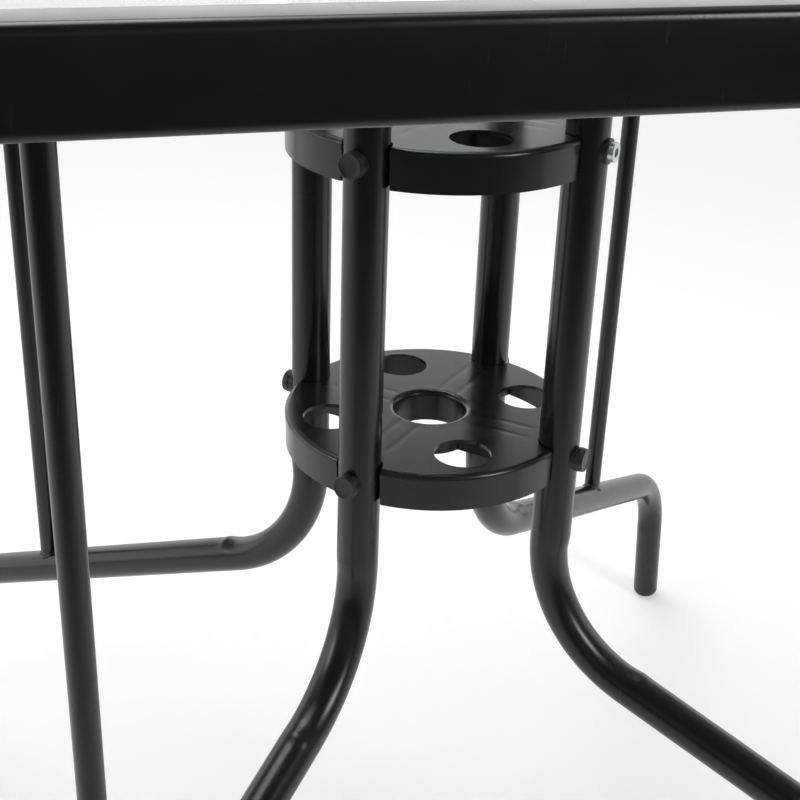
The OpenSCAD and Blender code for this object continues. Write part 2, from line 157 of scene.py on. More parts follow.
class Shade:
    # A node tree with short calls for its nodes and links
    def __init__(self, tree):
        self.nodes = tree.nodes
        self.links = tree.links

    def node(self, kind, **values):
        # A new node with its settings
        made = self.nodes.new(kind)
        for key, value in values.items():
            setattr(made, key, value)
        return made

    def feed(self, socket, value):
        # Links an output to the socket, or sets the socket to a plain value
        if hasattr(value, "is_output"):
            self.links.new(value, socket)
        else:
            socket.default_value = value

    def math(self, operation, a, b=0.0, c=0.0, clamp=False):
        # One operation on up to three numbers or outputs
        made = self.node("ShaderNodeMath", operation=operation, use_clamp=clamp)
        for socket, value in zip(made.inputs, (a, b, c)):
            self.feed(socket, value)
        return made.outputs[0]

    def noise(self, vector, scale, detail=2.0, rough=0.5, stretch=None):
        # A noise from 0 to 1; its scale is in waves for each metre
        if stretch is not None:
            mapping = self.node("ShaderNodeMapping")
            self.feed(mapping.inputs["Vector"], vector)
            mapping.inputs["Scale"].default_value = stretch
            vector = mapping.outputs[0]
        made = self.node("ShaderNodeTexNoise")
        self.feed(made.inputs["Vector"], vector)
        self.feed(made.inputs["Scale"], scale)
        made.inputs["Detail"].default_value = detail
        made.inputs["Roughness"].default_value = rough
        return made.outputs["Fac"]

    def spread(self, value, low, high, toLow=0.0, toHigh=1.0, kind="SMOOTHSTEP"):
        # The range from low to high carried over to the range from toLow to toHigh
        made = self.node("ShaderNodeMapRange", interpolation_type=kind)
        for socket, number in zip(made.inputs[:5], (value, low, high, toLow, toHigh)):
            self.feed(socket, number)
        return made.outputs[0]

    def mix(self, amount, a, b):
        # Colour a at 0 and colour b at 1
        made = self.node("ShaderNodeMix", data_type="RGBA")
        self.feed(made.inputs[0], amount)
        self.feed(made.inputs[6], a)
        self.feed(made.inputs[7], b)
        return made.outputs[2]

    def xyz(self, vector):
        # The three parts of a vector
        made = self.node("ShaderNodeSeparateXYZ")
        self.feed(made.inputs[0], vector)
        return made.outputs

    def place(self):
        # The place on the object in metres
        return self.node("ShaderNodeTexCoord").outputs["Object"]

    def effect(self, tree, **values):
        # A shared effect with its own values
        made = self.node("ShaderNodeGroup", node_tree=tree)
        for key, value in values.items():
            self.feed(made.inputs[key], value)
        return made.outputs


def newGroup(name, inputs, outputs):
    # An empty node group; inputs are (name, default), with None for a vector, and outputs are numbers
    tree = bpy.data.node_groups.new(name, "ShaderNodeTree")
    for key, value in inputs:
        kind = "NodeSocketVector" if value is None else "NodeSocketFloat"
        socket = tree.interface.new_socket(key, in_out="INPUT", socket_type=kind)
        if value is not None:
            socket.default_value = value
    for key in outputs:
        tree.interface.new_socket(key, in_out="OUTPUT", socket_type="NodeSocketFloat")
    shade = Shade(tree)
    return tree, shade, shade.node("NodeGroupInput").outputs, shade.node("NodeGroupOutput").inputs


def newMaterial(name, color, roughness, **plain):
    # A material with a Principled shader whose plain sockets are set from the given values
    material = bpy.data.materials.new(name)
    material.use_nodes = True
    shade = Shade(material.node_tree)
    principled = material.node_tree.nodes["Principled BSDF"]
    principled.inputs["Base Color"].default_value = (*color, 1.0)
    principled.inputs["Roughness"].default_value = roughness
    for key, value in plain.items():
        principled.inputs[key.replace("_", " ")].default_value = value
    material.diffuse_color = (*color, 1.0)
    return material, shade, principled


def bumped(shade, principled, height, depth):
    # Feeds a height, whose 1 is the depth in metres, through a Bump node to the shader's normal
    bump = shade.node("ShaderNodeBump")
    bump.inputs["Strength"].default_value = 1.0
    bump.inputs["Distance"].default_value = depth
    shade.feed(bump.inputs["Height"], height)
    shade.links.new(bump.outputs[0], principled.inputs["Normal"])


# Shared effects

waves = {"fineDetail": 2.0, "fineRough": 0.55, "broadScale": 0.32, "broadShare": 0.7,
    "driftScale": 26.0, "driftDetail": 3.0, "driftRough": 0.6}


def skinGrainGroup():
    # The pebbled skin of a sprayed or moulded surface: a fine noise and a share of a broader one.
    # Gloss is a slow noise about zero. The grain size is in millimetres.
    tree, s, i, o = newGroup("Skin grain", [("Vector", None), ("Grain size", 1.0), ("Gloss drift", 1.0)],
        ["Height", "Gloss"])
    scale = s.math("DIVIDE", 1 / mm, i["Grain size"])
    fine = s.noise(i["Vector"], scale, detail=waves["fineDetail"], rough=waves["fineRough"])
    broad = s.noise(i["Vector"], s.math("MULTIPLY", scale, waves["broadScale"]), detail=1.0)
    s.feed(o["Height"], s.math("MULTIPLY_ADD", broad, waves["broadShare"], fine))
    drift = s.noise(i["Vector"], waves["driftScale"], detail=waves["driftDetail"],
        rough=waves["driftRough"])
    s.feed(o["Gloss"], s.math("MULTIPLY", s.math("SUBTRACT", drift, 0.5), i["Gloss drift"]))
    return tree


handling = {"rubScale": 38.0, "rubDetail": 1.5, "rubRough": 0.45, "rubRange": (0.52, 0.8), "rubShare": 0.45,
    "hairTurns": (0.35, 1.9, 2.75), "hairTilt": (0.2, 0.1), "hairStretch": (420.0, 16.0, 60.0),
    "hairRange": (0.735, 0.79)}


def handlingGroup():
    # Faint rubs where a slow noise is high, and hairline scratches where a noise stretched along one of
    # three directions is very high, as one mask
    tree, s, i, o = newGroup("Handling marks", [("Vector", None), ("Amount", 1.0), ("Scratches", 0.8)],
        ["Mask"])
    rubs = s.noise(i["Vector"], handling["rubScale"], detail=handling["rubDetail"],
        rough=handling["rubRough"])
    rubs = s.spread(rubs, *handling["rubRange"])
    lines = None
    for turn in handling["hairTurns"]:
        mapping = s.node("ShaderNodeMapping")
        s.feed(mapping.inputs["Vector"], i["Vector"])
        mapping.inputs["Rotation"].default_value = (*handling["hairTilt"], turn)
        mapping.inputs["Scale"].default_value = handling["hairStretch"]
        hair = s.spread(s.noise(mapping.outputs[0], 1.0, detail=1.0), *handling["hairRange"])
        lines = hair if lines is None else s.math("MAXIMUM", lines, hair)
    lines = s.math("MULTIPLY", lines, i["Scratches"])
    marks = s.math("MULTIPLY_ADD", rubs, handling["rubShare"], lines, clamp=True)
    s.feed(o["Mask"], s.math("MULTIPLY", marks, i["Amount"], clamp=True))
    return tree


sinks = {"ribOffset": 0.0062, "ribWidth": 0.0022, "ribStart": 0.0275, "ribEnd": 0.07, "startFade": 0.006,
    "endFade": 0.01, "ringRadius": 0.031, "ringWidth": 0.0045, "ringShare": 0.35}


def bell(s, value, middle, width):
    # exp(-((value - middle) / width) squared)
    off = s.math("DIVIDE", s.math("SUBTRACT", value, middle), width)
    return s.math("EXPONENT", s.math("MULTIPLY", s.math("MULTIPLY", off, off), -1.0))


def reachFromAxis(s, p):
    # Distance from the Z axis
    return s.math("SQRT", s.math("MULTIPLY_ADD", p["X"], p["X"], s.math("MULTIPLY", p["Y"], p["Y"])))


def sinkMarkGroup():
    # The faint hollows over a disc's ribs: two lines along each diagonal, and a ring over the collar
    tree, s, i, o = newGroup("Sink marks",
        [("Vector", None), ("Rib offset", sinks["ribOffset"]), ("Rib width", sinks["ribWidth"]),
            ("Rib start", sinks["ribStart"]), ("Rib end", sinks["ribEnd"]),
            ("Ring radius", sinks["ringRadius"]), ("Ring width", sinks["ringWidth"])],
        ["Height", "Mask"])
    p = s.xyz(i["Vector"])
    half = math.sqrt(0.5)
    along = s.math("ABSOLUTE", s.math("MULTIPLY", s.math("ADD", p["X"], p["Y"]), half))
    across = s.math("ABSOLUTE", s.math("MULTIPLY", s.math("SUBTRACT", p["Y"], p["X"]), half))
    total = None
    for length, side in ((along, across), (across, along)):
        fadeStart = s.math("SUBTRACT", i["Rib start"], sinks["startFade"])
        fadeEnd = s.math("SUBTRACT", i["Rib end"], sinks["endFade"])
        inside = s.math("MULTIPLY", s.spread(length, fadeStart, i["Rib start"]),
            s.spread(length, fadeEnd, i["Rib end"], 1.0, 0.0))
        hollow = s.math("MULTIPLY", bell(s, side, i["Rib offset"], i["Rib width"]), inside)
        total = hollow if total is None else s.math("ADD", total, hollow)
    ringHollow = bell(s, reachFromAxis(s, p), i["Ring radius"], i["Ring width"])
    total = s.math("MULTIPLY_ADD", ringHollow, sinks["ringShare"], total)
    s.feed(o["Height"], s.math("MULTIPLY", total, -1.0))
    s.feed(o["Mask"], total)
    return tree


mould = {"lowerTop": 0.437, "upperTop": 0.62, "between": 0.53, "edgeRadius": 0.084,
    "depths": (0.0004, 0.0014)}


def mouldAndShadeInsideGroup():
    # 1 on everything inside a disc's edge and below its top, where the mould is left rougher and where
    # shade is painted into the colour
    tree, s, i, o = newGroup("Mould and painted shade inside",
        [("Vector", None), ("Lower top", mould["lowerTop"]), ("Upper top", mould["upperTop"]),
            ("Edge radius", mould["edgeRadius"])],
        ["Mask"])
    p = s.xyz(i["Vector"])
    upper = s.math("GREATER_THAN", p["Z"], mould["between"])
    top = s.math("MULTIPLY_ADD", s.math("SUBTRACT", i["Upper top"], i["Lower top"]), upper, i["Lower top"])
    depth = s.math("SUBTRACT", top, p["Z"])
    inside = s.math("LESS_THAN", reachFromAxis(s, p), i["Edge radius"])
    s.feed(o["Mask"], s.math("MULTIPLY", s.spread(depth, *mould["depths"]), inside))
    return tree


skinGrain = skinGrainGroup()
handlingMarks = handlingGroup()
sinkMarks = sinkMarkGroup()
mouldAndShadeInside = mouldAndShadeInsideGroup()


# Finishes

def startFinish(name, look, **plain):
    # The start of a finish: its shader, the place on the object, the height of the skin grain, and the
    # roughness, which is the finish's own value plus the grain's drift of gloss
    material, s, p = newMaterial(name, look["color"], look["roughness"], **plain)
    place = s.place()
    grain = s.effect(skinGrain, Vector=place, **{"Grain size": look["grain"], "Gloss drift": look["drift"]})
    rough = s.math("ADD", look["roughness"], grain["Gloss"], clamp=True)
    return material, s, p, place, grain["Height"], rough


# Satin black powder coat on steel, with a fine orange peel
steelLook = {"color": (0.0055, 0.0055, 0.0056), "rubbed": (0.01045, 0.01045, 0.01064), "specular": 0.5,
    "roughness": 0.25, "grain": 0.9, "depth": 0.00002, "drift": 0.16, "marks": 0.35, "markDulling": 0.12}
# Matte black plastic of caps, plugs, washers and the parasol ring, finely eroded
capLook = {"color": (0.016, 0.016, 0.0162), "rubbed": (0.045, 0.045, 0.045), "specular": 0.45,
    "roughness": 0.4, "grain": 0.35, "depth": 0.00002, "drift": 0.2, "marks": 0.6, "markDulling": 0.1}


def rubbedCoat(name, look):
    # A coat that is duller where it was handled, by the marks' mask times their dulling, and turns towards
    # its rubbed colour there
    material, s, p, place, skin, rough = startFinish(name, look, Specular_IOR_Level=look["specular"])
    marks = s.effect(handlingMarks, Vector=place, Amount=look["marks"])["Mask"]
    s.feed(p.inputs["Roughness"], s.math("MULTIPLY_ADD", marks, look["markDulling"], rough, clamp=True))
    s.feed(p.inputs["Base Color"], s.mix(marks, (*look["color"], 1), (*look["rubbed"], 1)))
    bumped(s, p, skin, look["depth"])
    return material


# The inside share of the colour is painted shade: the disc is kept darker in its holes, its bore and under
# its top
discLook = {"color": (0.0095, 0.0102, 0.0107), "specular": 0.5, "tint": (0.96, 1.0, 0.985, 1.0),
    "roughness": 0.23, "grain": 0.55, "depth": 0.000004, "drift": 0.14,
    "marks": 0.22, "scratches": 0.1, "markDulling": 0.16, "markPaling": 0.7,
    "flowScale": 9.0, "flowDetail": 4.0, "flowRough": 0.62, "flowStretch": (1.0, 3.4, 1.0),
    "flowDulling": 0.22, "flowRange": (0.35, 0.7), "flowPaling": 0.3, "palest": 1.8,
    "sinkDepth": 0.00008, "sinkDulling": -0.05, "insideDulling": 0.07, "insidePaintedShade": 0.35}


def discPlastic():
    # Moulded black plastic with a satin face, flow streaks, sink marks over its ribs and light scuffs, and
    # painted shade that darkens its colour inside its holes and bore and under its top
    look = discLook
    material, s, p, place, skin, rough = startFinish("Moulded disc plastic", look,
        Specular_IOR_Level=look["specular"], Specular_Tint=look["tint"])
    marks = s.effect(handlingMarks, Vector=place, Amount=look["marks"], Scratches=look["scratches"])["Mask"]
    hollows = s.effect(sinkMarks, Vector=place)
    inside = s.effect(mouldAndShadeInside, Vector=place)
    flow = s.noise(place, look["flowScale"], detail=look["flowDetail"], rough=look["flowRough"],
        stretch=look["flowStretch"])
    rough = s.math("MULTIPLY_ADD", s.math("SUBTRACT", flow, 0.5), look["flowDulling"], rough)
    rough = s.math("MULTIPLY_ADD", hollows["Mask"], look["sinkDulling"], rough)
    rough = s.math("MULTIPLY_ADD", inside["Mask"], look["insideDulling"], rough)
    s.feed(p.inputs["Roughness"], s.math("MULTIPLY_ADD", marks, look["markDulling"], rough, clamp=True))
    paler = tuple(c * look["palest"] for c in look["color"])
    paintedShadeColor = tuple(c * look["insidePaintedShade"] for c in look["color"])
    markTone = s.math("MULTIPLY", marks, look["markPaling"])
    flowTone = s.spread(flow, *look["flowRange"])
    tone = s.math("MULTIPLY_ADD", flowTone, look["flowPaling"], markTone, clamp=True)
    color = s.mix(tone, (*look["color"], 1), (*paler, 1))
    # Painted shade: the colour turns darker below the top and inside the edge, where shade falls in the
    # holes, the bore and the underside
    s.feed(p.inputs["Base Color"], s.mix(inside["Mask"], color, (*paintedShadeColor, 1)))
    sunk = s.math("MULTIPLY", hollows["Height"], look["sinkDepth"])
    bumped(s, p, s.math("MULTIPLY_ADD", skin, look["depth"], sunk), 1.0)
    return material


zincLook = {"color": (0.62, 0.68, 0.74), "warm": (0.7, 0.7, 0.66), "roughness": 0.26, "grain": 0.3,
    "depth": 0.000012, "drift": 0.25, "tintScale": 220.0, "tintDetail": 3.0, "tintRange": (0.35, 0.7)}


def zincSteel():
    # Bright zinc plate whose bluish cast turns warmer in small patches, with an uneven gloss
    look = zincLook
    material, s, p, place, skin, rough = startFinish("Bright zinc plate", look, Metallic=1.0)
    tint = s.spread(s.noise(place, look["tintScale"], detail=look["tintDetail"]), *look["tintRange"])
    s.feed(p.inputs["Base Color"], s.mix(tint, (*look["color"], 1), (*look["warm"], 1)))
    s.feed(p.inputs["Roughness"], rough)
    bumped(s, p, skin, look["depth"])
    return material


glassLook = {"face": (0.9, 0.965, 0.945), "faceRoughness": 0.0, "edge": (0.42, 0.72, 0.6),
    "edgeRoughness": 0.22, "refraction": 1.52, "hazeScale": 7.0, "hazeDetail": 5.0, "hazeRough": 0.6,
    "hazeRange": (0.45, 0.8), "haze": 0.02}


def clearGlass(name, color, roughness):
    # Clear tempered glass with a faint haze in patches; its faces are almost colourless, its edges green
    look = glassLook
    material, s, p = newMaterial(name, color, roughness, IOR=look["refraction"], Transmission_Weight=1.0)
    haze = s.noise(s.place(), look["hazeScale"], detail=look["hazeDetail"], rough=look["hazeRough"])
    haze = s.spread(haze, *look["hazeRange"], roughness, roughness + look["haze"])
    s.feed(p.inputs["Roughness"], haze)
    return material


padLook = {"color": (0.018, 0.018, 0.018), "specular": 0.3, "roughness": 0.8, "grain": 0.5,
    "depth": 0.00003, "drift": 0.2}


def softPad():
    # Dull black rubber with a coarse skin
    material, s, p, place, skin, rough = startFinish("Soft rubber pad", padLook,
        Specular_IOR_Level=padLook["specular"])
    s.feed(p.inputs["Roughness"], rough)
    bumped(s, p, skin, padLook["depth"])
    return material


steel = rubbedCoat("Black powder coat", steelLook)
disc = discPlastic()
plastic = rubbedCoat("Matte black plastic", capLook)
zinc = zincSteel()
glassFace = clearGlass("Clear tempered glass", glassLook["face"], glassLook["faceRoughness"])
glassEdge = clearGlass("Ground glass edge", glassLook["edge"], glassLook["edgeRoughness"])
rubber = softPad()
print("finishes made")


# Legs: one bent tube each

leg = {
    "tubeRadius": 12.0, "postRadius": 85.0, "armEnd": 549.05, "rimBottom": 723.0,
    "upperBendRadius": 70.0, "lowerBendRadius": 92.0, "lowerBendHeight": 370.0,
    "armSlope": 21.5, "footBendRadius": 92.0, "footLean": 10.0, "footReach": 528.0,
    "capHeight": 8.0, "capRadius": 7.0, "capFlat": 0.8,
    "sides": 72, "closeLength": 16.0, "closeStations": 15, "openStart": 20.0, "openStations": 7,
    "bendStep": 1.3, "fewestInBend": 24,
    "lead": 6.0, "fade": 13.0, "longFade": 30.0, "fadeShare": 0.62, "longShare": 0.38,
    "squeeze": 0.18, "squeezeFlat": 1.5, "lumpReach": 3.2,
    "bends": {
        "upper": {"flat": 1.4, "lumpBefore": 0.2, "lumpAfter": 0.2},
        "lower": {"flat": 1.45, "lumpBefore": 0.1, "lumpAfter": 0.6},
        "foot": {"flat": 1.3, "lumpBefore": 0.1, "lumpAfter": 0.1}
    }
}
slope = math.radians(leg["armSlope"])
lean = math.radians(leg["footLean"])
armHeight = leg["rimBottom"] - leg["tubeRadius"]
armStart = np.array([leg["postRadius"] + leg["lowerBendRadius"] * (1 - math.sin(slope)),
    leg["lowerBendHeight"] - leg["lowerBendRadius"] * math.cos(slope)])


def cross(a, b):
    # The flat cross product, which is the area that two arrows span
    return a[0] * b[1] - a[1] * b[0]


def lowerLengths():
    # Lengths of the lower arm and the foot: their lines cross over the foot's tip, less the bend's tangents
    tipHeight = leg["capRadius"] * (1 - math.cos(lean)) \
        + (leg["tubeRadius"] - leg["capRadius"]) * math.sin(lean) - leg["capFlat"]
    span = np.array([leg["footReach"], tipHeight]) - armStart
    way = (math.cos(slope), -math.sin(slope))
    up = (-math.sin(lean), math.cos(lean))
    tangent = leg["footBendRadius"] * math.tan((math.pi / 2 - slope - lean) / 2)
    armLength = cross(span, up) / cross(way, up) - tangent
    footLength = cross(span, way) / cross(way, up) - tangent - leg["capHeight"]
    return armLength, footLength


def legPath():
    # Stations along the tube: straight lengths and arcs in turn, from the upper arm's end to the foot.
    # In an arc the heading turns evenly. Each station has its place, heading and way along the tube.
    armLength, footLength = lowerLengths()
    upperStart = leg["postRadius"] + leg["upperBendRadius"]
    upperEnd = armHeight - leg["upperBendRadius"]
    runs = [
        (leg["armEnd"] - upperStart, 0.0, 0.0),
        (leg["upperBendRadius"], math.pi / 2, 1.0),
        (upperEnd - leg["lowerBendHeight"], 0.0, 0.0),
        (leg["lowerBendRadius"], math.pi / 2 - slope, 1.0),
        (armLength, 0.0, 0.0),
        (leg["footBendRadius"], math.pi / 2 - slope - lean, -1.0),
        (footLength, 0.0, 0.0)
    ]
    place = np.array([leg["armEnd"], armHeight])
    heading = math.pi
    way = 0.0
    close = np.linspace(0.0, leg["closeLength"], leg["closeStations"])
    stations, bends = [], []
    for number, (size, turn, side) in enumerate(runs):
        if turn == 0.0:
            between = np.linspace(leg["openStart"], size - leg["openStart"], leg["openStations"])
            spots = np.concatenate([close, between, size - close[::-1]])
            angles = np.full(len(spots), heading)
            ahead = np.array([math.cos(heading), math.sin(heading)])
            here = place + spots[:, None] * ahead
            length = size
            place = place + size * ahead
        else:
            length = size * turn
            spots = np.linspace(0.0, length, max(int(length / leg["bendStep"]), leg["fewestInBend"]))
            angles = heading + side * spots / size
            centre = place + side * size * np.array([-math.sin(heading), math.cos(heading)])
            here = centre - side * size * np.stack([-np.sin(angles), np.cos(angles)], -1)
            bends.append((way, way + length, side))
            heading = heading + side * turn
            place = here[-1]
        keep = slice(None) if number == len(runs) - 1 else slice(None, -1)
        stations.append(np.column_stack([here, angles, way + spots])[keep])
        way += length
    return np.concatenate(stations), bends


def bendMarks(way, bends):
    # Flattening on the inside of each bend, which sets in quickly and then deepens slowly, and the low lump
    # that the bender pushes up beside it; both are signed with the side that the bend turns to
    flat = np.zeros(len(way))
    lump = np.zeros(len(way))
    for (start, stop, side), values in zip(bends, leg["bends"].values()):
        inside = np.minimum(way - start, stop - way) + leg["lead"]
        depth = leg["fadeShare"] * smooth(inside / leg["fade"]) \
            + leg["longShare"] * smooth(inside / leg["longFade"])
        flat += side * values["flat"] * depth
        ends = ((start - leg["lead"], values["lumpBefore"]), (stop + leg["lead"], values["lumpAfter"]))
        for edge, height in ends:
            lump += side * height * np.exp(-((way - edge) / leg["lumpReach"]) ** 2)
    return flat, lump


def legShape():
    # A round section carried along the path. On the inside of a bend its radius is less, where the tube
    # flattens, with a little less at both sides, and beside the bend it has a faint lump.
    path, bends = legPath()
    spine = np.stack([path[:, 0], np.zeros(len(path)), path[:, 1]], -1)
    headings = path[:, 2]
    flat, lump = bendMarks(path[:, 3], bends)
    a = np.linspace(0, 2 * np.pi, leg["sides"], endpoint=False)[None, :]
    inner = np.clip(np.cos(a) * np.sign(flat + lump + tiny)[:, None], 0, 1)
    radius = leg["tubeRadius"] - np.abs(flat)[:, None] * inner ** 2 + np.abs(lump)[:, None] * inner ** 3
    radius = radius - leg["squeeze"] * np.abs(flat / leg["squeezeFlat"])[:, None] * np.sin(a) ** 2
    across = np.stack([-np.sin(headings), np.zeros(len(headings)), np.cos(headings)], -1)
    side = np.array([0.0, 1.0, 0.0])
    section = np.cos(a)[..., None] * across[:, None] + np.sin(a)[..., None] * side
    grid = spine[:, None] + radius[..., None] * section
    return grid.reshape(-1, 3) * mm, tubeFaces(len(path), leg["sides"])


legPoints, legFaces = legShape()
for corner, angle in cornerAngles.items():
    addPiece("leg_tube_" + corner, turned(legPoints, angle), legFaces, [steel], "black_steel",
        ["leg_" + corner], sharp=50.0)
print("legs made:", len(legPoints), "points each")


# Brace rods and their welds

rod = {"radius": 6.5, "place": 320.0, "sides": 48, "rings": 9, "sunk": 0.4}
bead = {"size": 1.15, "lump": 0.55, "lumpRange": (0.3, 1.0), "lumpWaves": (2, 3, 5, 7), "lumpShare": 2.2,
    "seat": 0.8, "ripples": 15, "rippleHeight": 0.18, "sizeRange": (0.45, 2.6), "standOff": 0.1,
    "sides": 14, "steps": 128, "firstSeed": 40}


def armHeights(x, y):
    # Heights of the lower arm's upper side and the upper arm's lower side over a point of the leg's plane
    rise = np.sqrt(np.maximum(leg["tubeRadius"] ** 2 - y ** 2, 0.0))
    low = armStart[1] - (x - armStart[0]) * math.tan(slope) + rise / math.cos(slope)
    return low, armHeight - rise


def rodShape():
    # A round bar whose end rings follow the arms' surfaces, sunk a little into them and closed inside
    a = np.linspace(0, 2 * np.pi, rod["sides"], endpoint=False)
    x = rod["place"] + rod["radius"] * np.cos(a)
    y = rod["radius"] * np.sin(a)
    low, high = armHeights(x, y)
    share = np.linspace(0, 1, rod["rings"])[:, None]
    z = (low - rod["sunk"]) * (1 - share) + (high + rod["sunk"]) * share
    grid = np.stack([np.broadcast_to(x, z.shape), np.broadcast_to(y, z.shape), z], -1)
    return grid.reshape(-1, 3) * mm, tubeFaces(rod["rings"], rod["sides"])


def beadShape(upper, seed):
    # A weld bead round the rod's end: a small circle carried round the seam, rippled and uneven in size,
    # fullest on the side that faces the table's centre
    a = np.linspace(0, 2 * np.pi, bead["steps"], endpoint=False)
    wave = np.random.default_rng(seed)
    lumps = sum(wave.uniform(*bead["lumpRange"]) * np.cos(k * a + wave.uniform(0, 2 * np.pi))
        for k in bead["lumpWaves"]) / bead["lumpShare"]
    ripple = bead["rippleHeight"] * np.abs(np.sin(bead["ripples"] * a / 2))
    size = bead["size"] + bead["lump"] * lumps + ripple + bead["seat"] * np.clip(-np.cos(a), 0, 1) ** 2
    size = np.clip(size, *bead["sizeRange"])
    reach = rod["radius"] + bead["standOff"] * size
    x = rod["place"] + reach * np.cos(a)
    y = reach * np.sin(a)
    low, high = armHeights(x, y)
    z = high + bead["standOff"] * size if upper else low - bead["standOff"] * size
    b = np.linspace(0, 2 * np.pi, bead["sides"], endpoint=False)[None, :]
    out = np.stack([np.cos(a), np.sin(a), np.zeros(len(a))], -1)[:, None]
    up = np.array([0.0, 0.0, 1.0])
    circle = np.cos(b)[..., None] * out + np.sin(b)[..., None] * up
    grid = np.stack([x, y, z], -1)[:, None] + size[:, None, None] * circle
    return grid.reshape(-1, 3) * mm, gridFaces(bead["steps"], bead["sides"], wrapRows=True).tolist()


rodPoints, rodFaces = rodShape()
beads = []
for number, (corner, angle) in enumerate(cornerAngles.items()):
    addPiece("brace_rod_" + corner, turned(rodPoints, angle), rodFaces, [steel], "black_steel",
        ["rod_" + corner], sharp=50.0)
    for upper in (False, True):
        points, faces = beadShape(upper, bead["firstSeed"] + 2 * number + upper)
        beads.append((turned(points, angle), faces))
addPiece("weld_beads", *joinShapes(beads), [steel], "black_steel", sharp=60.0)
print("rods and weld beads made")


# Foot caps and bolt caps

# Grooves and skirts are (distance from the side, height), and the last points of the bolt's cap are
# (distance inside the rim, height) and (radius, height) over its face
footCap = {"plugDepth": 13.0, "plugRadius": 10.7, "plugEdge": 1.0, "gap": 0.05,
    "groove": ((-0.5, -0.05), (-0.4, 0.25), (-0.03, 0.6)), "edgeSteps": 20, "centre": 2.0}
boltCap = {"radius": 7.25, "height": 4.4, "edge": 0.55, "rim": 0.5, "dish": 0.5, "flare": 0.35,
    "skirt": ((-0.4, 0.0), (-0.1, 0.12), (0.0, 0.4), (-0.05, 1.1)), "edgeTurn": (8, 84, 9),
    "rimDrop": 0.03, "insideRim": ((-0.35, 0.1), (-0.7, 0.0)), "middle": ((2.5, 0.06), (0.0, 0.08)),
    "segments": 72, "washer": 1.2, "drop": 8.1735, "lower": 437.0, "upper": 620.0}


def footCapShape():
    # A profile spun round the foot's axis: plug, shallow groove, side and rounded end
    r, h, e = leg["tubeRadius"], leg["capHeight"], leg["capRadius"]
    plug, deep, edge = footCap["plugRadius"], footCap["plugDepth"], footCap["plugEdge"]
    profile = [(0, -deep), (plug - edge, -deep), (plug, edge - deep), (plug, -footCap["gap"])]
    profile += [(r + out, up) for out, up in footCap["groove"]]
    profile += arc((r - e, h - e), e, 0, 90, footCap["edgeSteps"]).tolist()
    profile += [(footCap["centre"], h), (0, h)]
    return revolved(profile, leg["sides"])


footEnd = legPath()[0][-1]
capPoints, capFaces = footCapShape()
capPoints = placed(capPoints, (footEnd[0], 0, footEnd[1]), (math.sin(lean), 0, -math.cos(lean)))
capPoints[:, 2] = np.maximum(capPoints[:, 2], 0.0)
for corner, angle in cornerAngles.items():
    addPiece("foot_end_" + corner, turned(capPoints * mm, angle), capFaces, [plastic], "black_plastic",
        ["foot_cap_" + corner], sharp=40.0)


def boltCapShape():
    # A profile spun round the bolt: skirt that narrows outwards, rounded edge, thin raised rim, dished face
    r, h, e = boltCap["radius"], boltCap["height"], boltCap["edge"]
    edgeMiddle = r - boltCap["flare"] - e
    face = h - boltCap["dish"]
    rimInside = edgeMiddle - boltCap["rim"]
    profile = [(0, 0)] + [(r + out, up) for out, up in boltCap["skirt"]]
    profile += arc((edgeMiddle, h - e), e, *boltCap["edgeTurn"]).tolist()
    profile.append((rimInside, h - boltCap["rimDrop"]))
    profile += [(rimInside + out, face + up) for out, up in boltCap["insideRim"]]
    profile += [(radius, face + up) for radius, up in boltCap["middle"]]
    return revolved(profile, boltCap["segments"])


def boltCapGroup(height, corners):
    # The caps of one disc, each on its bolt at the outer side of a post
    points, faces = boltCapShape()
    face = leg["postRadius"] + leg["tubeRadius"] + boltCap["washer"]
    points = placed(points, (face, 0, height - boltCap["drop"]), (1, 0, 0)) * mm
    return joinShapes([(turned(points, cornerAngles[corner]), faces) for corner in corners])


upperCorners = ["front_left", "back_left", "back_right"]
addPiece("upper_caps", *boltCapGroup(boltCap["upper"], upperCorners), [plastic], "black_plastic",
    ["upper_bolt_caps"], sharp=40.0)
addPiece("lower_caps", *boltCapGroup(boltCap["lower"], list(cornerAngles)), [plastic], "black_plastic",
    ["lower_bolt_caps"], sharp=40.0)
print("caps made")


# Rim, glass and parasol ring

rim = {"half": 405.0, "corner": 50.0, "width": 20.0, "bottom": 723.0, "top": 750.0, "edge": 3.0,
    "edgeSteps": 7, "around": 160}
glass = {"half": 383.5, "corner": 28.5, "hole": 24.2, "low": 744.0, "high": 749.0, "arris": 0.7,
    "arrisBulge": 0.3, "around": 192}
ring = {"bore": 21.5, "sleeve": 23.7, "flange": 29.7, "low": 739.0, "glassTop": 749.0, "top": 751.5,
    "chamfer": 0.4, "lip": 0.3, "outerRadius": 1.6, "innerRadius": 1.4,
    "outerTurn": (-10, 90, 9), "innerTurn": (90, 180, 8), "segments": 96}


def squareLoop(half, corner, count):
    # Points round a square with round corners, evenly spread over each quarter: straight, then arc
    straight = 2 * (half - corner)
    bend = corner * math.pi / 2
    quarter = count // 4
    bendSteps = quarter // 2
    t = np.concatenate([np.linspace(0, straight, quarter - bendSteps, endpoint=False),
        straight + np.linspace(0, bend, bendSteps, endpoint=False)])
    a = np.clip(t - straight, 0, None) / corner
    x = half - corner + corner * np.cos(a)
    y = np.minimum(t, straight) - (half - corner) + corner * np.sin(a)
    side = np.stack([x, y], -1)
    turns = [np.array([[math.cos(k), math.sin(k)], [-math.sin(k), math.cos(k)]]) for k in
        (0, math.pi / 2, math.pi, 3 * math.pi / 2)]
    return np.concatenate([side @ turn for turn in turns])


